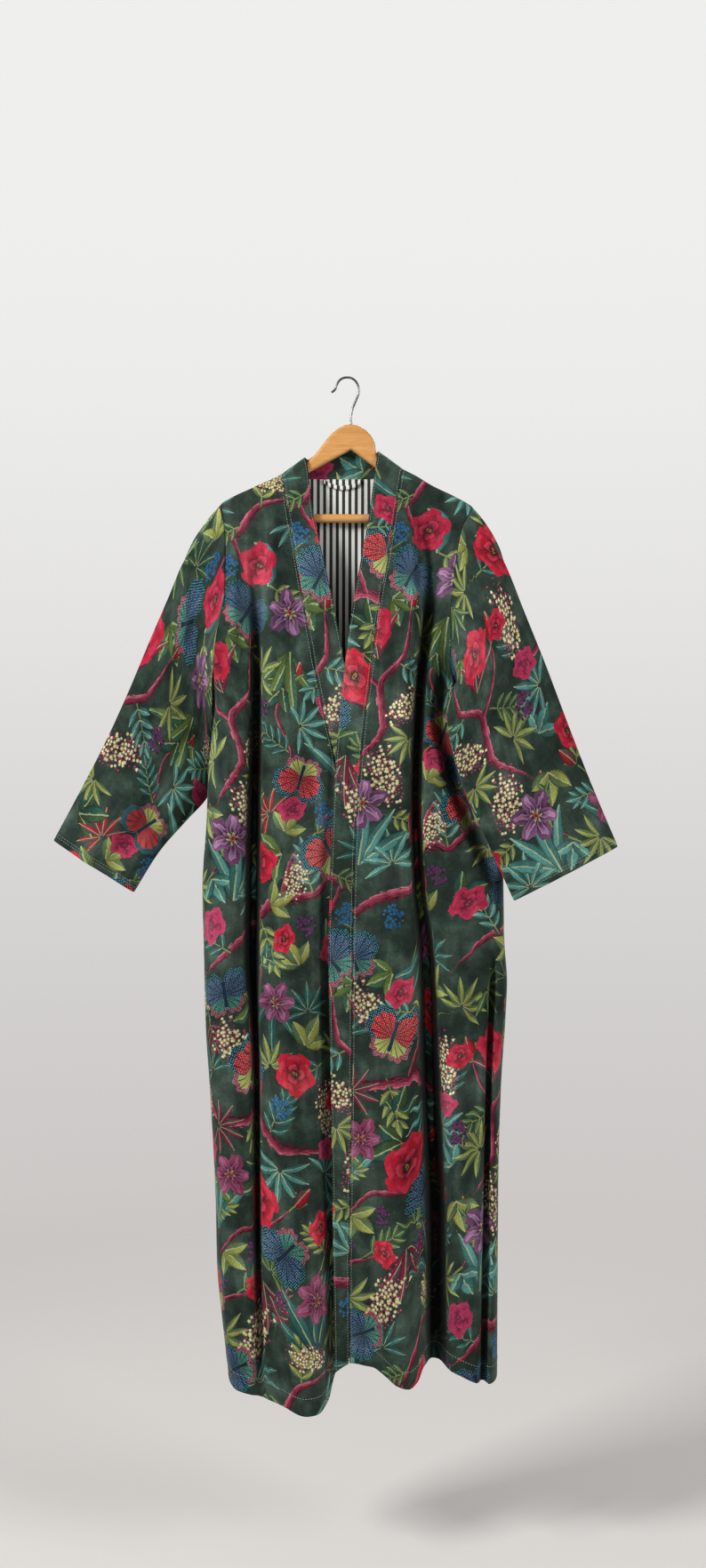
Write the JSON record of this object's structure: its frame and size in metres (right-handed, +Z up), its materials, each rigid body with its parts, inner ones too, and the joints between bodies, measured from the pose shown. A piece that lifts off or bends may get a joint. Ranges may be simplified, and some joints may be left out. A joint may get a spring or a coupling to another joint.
{
  "type": "dressing gown on a wooden hanger",
  "caption": "Long kimono-cut dressing gown of printed velvet with wide sleeves, a continuous neckband and a striped back lining, hanging on a wooden hanger with a trouser bar.",
  "frame": {"origin": "underside of the hook's crown, the point that rests on a nail or a rail", "axes": "+Z up, +X towards the wearer's left, -Y the front of the gown"},
  "size_m": [0.827, 0.1283, 1.5075],
  "materials": {
    "velvet": "printed cotton velvet, dark green ground",
    "lining": "striped cotton",
    "wood": "clear satin varnish",
    "hook": "dark wire"
  },
  "bodies": {
    "root": {"front_left": "velvet", "front_right": "velvet", "back": "velvet", "sleeve_left": "velvet", "sleeve_right": "velvet", "band_left": "velvet", "band_right": "velvet", "band_back": "velvet", "back_lining": "lining", "hanging_loop": "lining", "hanger_wood": "wood", "hanger_bar": "wood", "hanger_hook": "hook"}
  },
  "joints": []
}
